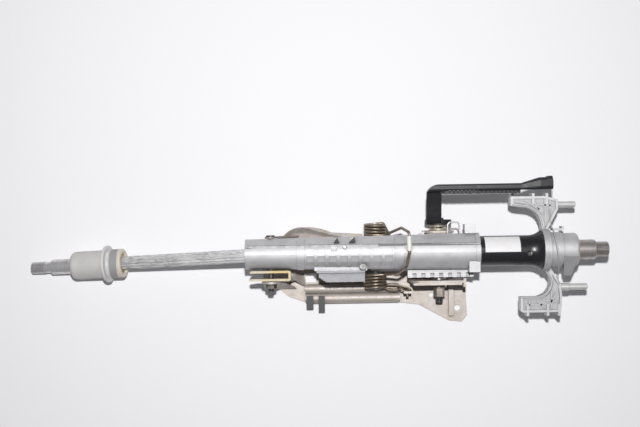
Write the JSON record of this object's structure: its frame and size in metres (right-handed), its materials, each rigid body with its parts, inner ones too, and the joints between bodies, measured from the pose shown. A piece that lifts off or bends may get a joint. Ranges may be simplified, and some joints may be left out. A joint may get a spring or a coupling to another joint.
{
  "type": "adjustable steering column",
  "caption": "Tilt and reach adjustable steering column on its bracket, with clamp lever, balance spring, universal joint and telescopic lower shaft.",
  "frame": {"origin": "on the bracket's mounting face, straight below the tilt pivot", "axes": "+X along the column towards the steering wheel, +Y towards the lever, +Z from the mounting face towards the column"},
  "size_m": [0.8215, 0.2069, 0.1084],
  "materials": {
    "zinc_steel": "warm grey zinc-plated pressed steel",
    "yellow_zinc": "yellow passivated zinc plating",
    "dark_steel": "black phosphated steel",
    "spring_steel": "bronze-brown tempered spring wire",
    "white_plastic": "natural white nylon",
    "black_plastic": "black moulded nylon",
    "cast_aluminium": "as-cast aluminium, fine grain",
    "cast_zinc": "grey die-cast metal",
    "bright_steel": "bright zinc-plated steel",
    "black_steel": "black paint, half gloss",
    "shaft_steel": "machined steel, slightly warm",
    "fluted_metal": "drawn bright metal with flutes",
    "gold_insert": "gold-coloured insert",
    "grey_plastic": "grey moulded plastic",
    "cream_plastic": "beige moulded plastic"
  },
  "bodies": {
    "bracket": {"mounting_bracket": "zinc_steel", "pressed_rail": "zinc_steel", "pivot_cheek": "zinc_steel", "bracket_arch": "zinc_steel", "clamp_cheeks": "zinc_steel", "friction_plate": "zinc_steel", "pivot_yoke": "yellow_zinc", "long_pivot_bolt": "dark_steel", "short_pivot_bolt": "dark_steel", "balance_spring": "spring_steel", "spring_spools": "black_plastic", "spring_perches": "zinc_steel", "cable_clips": "black_plastic"},
    "housing": {"column_housing": "cast_aluminium", "lock_case": "cast_zinc", "case_screw": "bright_steel", "pivot_bushes": "black_plastic", "guide_bushes": "white_plastic", "wire_loop": "bright_steel", "clamp_washers": "bright_steel", "lower_bearing": "bright_steel", "spring_sleeve": "white_plastic"},
    "jacket": {"jacket_tube": "black_steel", "switch_carrier": "cast_aluminium", "upper_stud": "bright_steel", "lower_stud": "bright_steel", "jacket_bearing": "bright_steel", "upper_bearing": "bright_steel", "upper_ring": "bright_steel"},
    "steering_shaft": {"wheel_shaft": "shaft_steel"},
    "joint_fork": {"fork_shaft": "shaft_steel", "fork_cups": "bright_steel"},
    "cross": {"joint_cross": "bright_steel"},
    "lower_shaft": {"fluted_shaft": "fluted_metal", "yoke_cups": "bright_steel"},
    "lower_end": {"lower_tube": "shaft_steel", "toothed_insert": "gold_insert"},
    "sleeve": {"firewall_sleeve": "grey_plastic", "seal_flange": "grey_plastic", "nose_ring": "cream_plastic"},
    "lever": {"clamp_lever": "black_steel", "clamp_bolt": "dark_steel", "clamp_nut": "dark_steel", "moving_cam": "yellow_zinc"},
    "follower": {"cam_follower": "yellow_zinc"}
  },
  "joints": [
    {"name": "column_tilt", "type": "hinge", "parent": "bracket", "child": "housing", "pos_m": [0, 0, 0.062], "axis": [0, -1, 0], "range_deg": [-2.5, 2.5], "deforming": ["balance_spring"]},
    {"name": "column_reach", "type": "slide", "parent": "housing", "child": "jacket", "axis": [1, 0, 0], "range_m": [-0.03, 0.03]},
    {"name": "wheel_turn", "type": "hinge", "parent": "jacket", "child": "steering_shaft", "pos_m": [0.45, 0, 0.062], "axis": [1, 0, 0], "continuous": true},
    {"name": "fork_turn", "type": "hinge", "parent": "housing", "child": "joint_fork", "pos_m": [0, 0, 0.062], "axis": [1, 0, 0], "continuous": true},
    {"name": "joint_pitch", "type": "hinge", "parent": "joint_fork", "child": "cross", "pos_m": [0, 0, 0.062], "axis": [0, -1, 0], "range_deg": [-12.5, 3.3]},
    {"name": "joint_yaw", "type": "hinge", "parent": "cross", "child": "lower_shaft", "pos_m": [0, 0, 0.062], "axis": [-0.15, 0, 0.9887], "range_deg": [-7.7, 3.3]},
    {"name": "shaft_telescope", "type": "slide", "parent": "lower_shaft", "child": "lower_end", "axis": [-0.9876, -0.0471, -0.1498], "range_m": [-0.025, 0.05]},
    {"name": "sleeve_turn", "type": "hinge", "parent": "lower_end", "child": "sleeve", "pos_m": [-0.2469, -0.01178, 0.02454], "axis": [-0.9876, -0.0471, -0.1498], "continuous": true},
    {"name": "lever_swing", "type": "hinge", "parent": "housing", "child": "lever", "pos_m": [0.239, 0, 0.027], "axis": [0, -1, 0], "range_deg": [0, 75]},
    {"name": "cam_lift", "type": "slide", "parent": "housing", "child": "follower", "axis": [0, 1, 0], "range_m": [0, 0.0009]}
  ],
  "couplings": [
    {"joint": "fork_turn", "follows": "wheel_turn", "ratio": 1},
    {"joint": "cam_lift", "follows": "lever_swing", "m_per_rad": 0.0006869}
  ]
}
